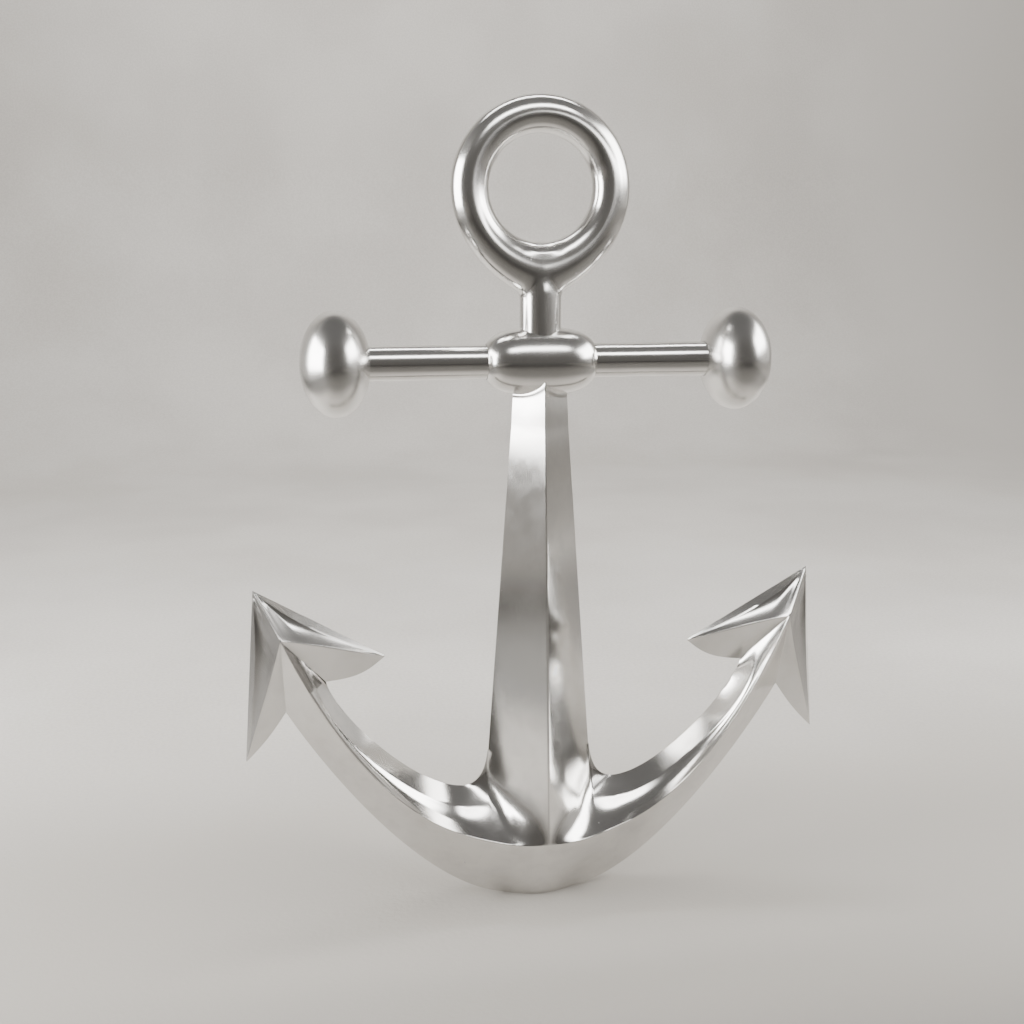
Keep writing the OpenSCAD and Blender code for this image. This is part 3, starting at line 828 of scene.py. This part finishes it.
# --- Flukes -----------------------------------------------------------------------------------
# Two arrowhead castings with hollow-ground front and rear faces, a bevelled rim along the
# outer edges, and a V-shaped seat for the arm's end. A screw from behind locks each one to
# the stud in the arm.
tip_reach, barb_spread, barb_in_length, barb_out_length = 38.5, 32.2, 109, 131
tip = fluke_c + tip_reach * aim(fluke_tilt - 1)
barb_in = tip + barb_in_length * aim(180 + fluke_tilt - barb_spread)
barb_out = tip + barb_out_length * aim(180 + fluke_tilt + barb_spread)
rim_width, rim_depth, rim_least = 6.4, 7.0, 0.6
barb_ridge_y, ridge_ease = 0.9, 1.0
HOLLOW_SHARE, REAR_HOLLOW_SHARE, HOLLOW_RUN = 0.34, 0.35, 0.2
SEAT_SHARE, LAST_SHARE, TURN_RUN = 0.4, 0.992, 0.08
WING_ROWS, RIM_BEND, FACE_BEND, REAR_BEND = 64, 3, 14, 8


def wing(barb, notch, sway, bow):
    """Closed rings of one wing of a fluke, from the line between tip and centre to its barb.
    sway is how far its ridge line bends inwards, and bow how far its rear edge bulges."""
    inward = (fluke_c - lerp(tip, barb, 0.5)).normalized()
    away = (notch - tip).normalized()
    along_ridge = (fluke_c - tip).normalized()
    spine = (fluke_c, lerp(fluke_c, barb, 0.33) + sway * inward, lerp(fluke_c, barb, 0.66), barb)
    rings = []
    for step in range(WING_ROWS + 1):
        s = step / WING_ROWS * LAST_SHARE
        lens = sin(pi * s)
        turn = lerp(along_ridge, inward, smooth(s / TURN_RUN)).normalized()
        edge = lerp(tip, barb, s)
        crest = curve(spine, s)
        crest_y = lerp(fluke_ridge_y, barb_ridge_y, s)
        rim = edge + turn * (rim_width * lens + 0.5)
        rim_y = rim_least + (rim_depth - rim_least) * lens * (1 - 0.4 * s)
        if s < SEAT_SHARE:
            u = s / SEAT_SHARE
            rear, rear_y = lerp(fluke_c, notch, u), lerp(fluke_ridge_y, EDGE_FLAT, u)
        else:
            v = (s - SEAT_SHARE) / (1 - SEAT_SHARE)
            rear, rear_y = lerp(notch, barb, v) + away * bow * sin(pi * v), EDGE_FLAT
        ridge_y = max(crest_y, rim_y * 0.9)
        deep = [Vector((p.x, -y, p.y)) for p, y in
                ((edge, EDGE_FLAT), (rim, rim_y), (crest, ridge_y), (rear, rear_y))]
        hollow = HOLLOW_SHARE * max(0.0, crest_y - rim_y) * smooth(s / HOLLOW_RUN)
        face = bend(deep[1], (deep[1] + deep[2]) / 2 + Vector((0, hollow, 0)), deep[2],
                    FACE_BEND)
        pull = (deep[2] + deep[3]) / 2 + Vector((0, hollow * REAR_HOLLOW_SHARE, 0))
        back = bend(deep[2], pull, deep[3], REAR_BEND)
        eased = ridge_ease * lens
        a, b = towards(deep[2], face[-2], eased), towards(deep[2], back[1], eased)
        half = bend(deep[0], (deep[0] + deep[1]) / 2, deep[1], RIM_BEND)[:-1] + face[:-1]
        half += bend(a, deep[2], b, RIDGE_BEND) + back[1:]
        rings.append(whole_ring(half))
    return rings


screw_at = fluke_c + 9 * aim(fluke_tilt + 7)
screw_bore, screw_from, screw_to = 3.55, 8.8, 40
for side, node in ((-1, "fluke_left"), (1, "fluke_right")):
    fluke = bmesh.new()
    for barb, notch, sway, bow in ((barb_out, notch_out, 3, 2), (barb_in, notch_in, -4, 5)):
        rings = wing(barb, notch, sway, bow)
        first, last = loft(fluke, rings)
        close_end(fluke, last)
    screw = rod(screw_bore, (screw_at.x, screw_from, screw_at.y),
                (screw_at.x, screw_to, screw_at.y))
    fluke = carve(fluke, screw, "DIFFERENCE")
    if side < 0:
        bmesh.ops.scale(fluke, vec=(-1, 1, 1), verts=fluke.verts)
        bmesh.ops.reverse_faces(fluke, faces=fluke.faces)
    fluke_finish = polished(f"polished_{node}", (0.82, 0.812, 0.796), 0.6, 0.6, 40,
                            21 + 1.9 * side, rough=0.16)
    fluke_piece = make(node + "_casting", fluke, fluke_finish, 26)
    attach(fluke_piece, "root")
    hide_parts(node)

# --- Hardware ---------------------------------------------------------------------------------
# Stainless steel studs, pins, screws, draw bolt and washer, turned and left satin. Only the
# ends of the crown pins, the screw heads and the draw bolt's head can be seen.
steel = bpy.data.materials.new("satin_steel")
lathe = Shader(steel)
spot = lathe.node("ShaderNodeTexCoord", output="Object")
rings_seen = lathe.node("ShaderNodeTexNoise", None, {"Vector": spot, "Scale": 2600, "Detail": 3})
soil = lathe.node("ShaderNodeTexNoise", None, {"Vector": spot, "Scale": 160, "Detail": 4})
tarnish = soil.between(0.42, 0.66)
steel_tint = lathe.mix(tarnish, (0.56, 0.565, 0.57), (0.40, 0.395, 0.385))
steel_rough = 0.24 + rings_seen.between(0.3, 0.7) * 0.1 + tarnish * 0.1
steel_relief = lathe.node("ShaderNodeBump", None,
                          {"Height": rings_seen * 2e-6, "Distance": 1.0, "Strength": 1.0})
skin = lathe.node("ShaderNodeBsdfPrincipled", None,
                  {"Base Color": steel_tint, "Metallic": 1.0, "Roughness": steel_rough,
                   "Normal": steel_relief})
lathe.node("ShaderNodeOutputMaterial", None, {"Surface": skin})
for node in ("ball_stud_left", "ball_stud_right", "tie_stud", "crown_pins", "draw_bolt",
             "draw_washer", "fluke_stud_left", "fluke_stud_right", "fluke_screw_left",
             "fluke_screw_right"):
    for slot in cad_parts[node].material_slots:
        slot.material = steel

low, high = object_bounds()
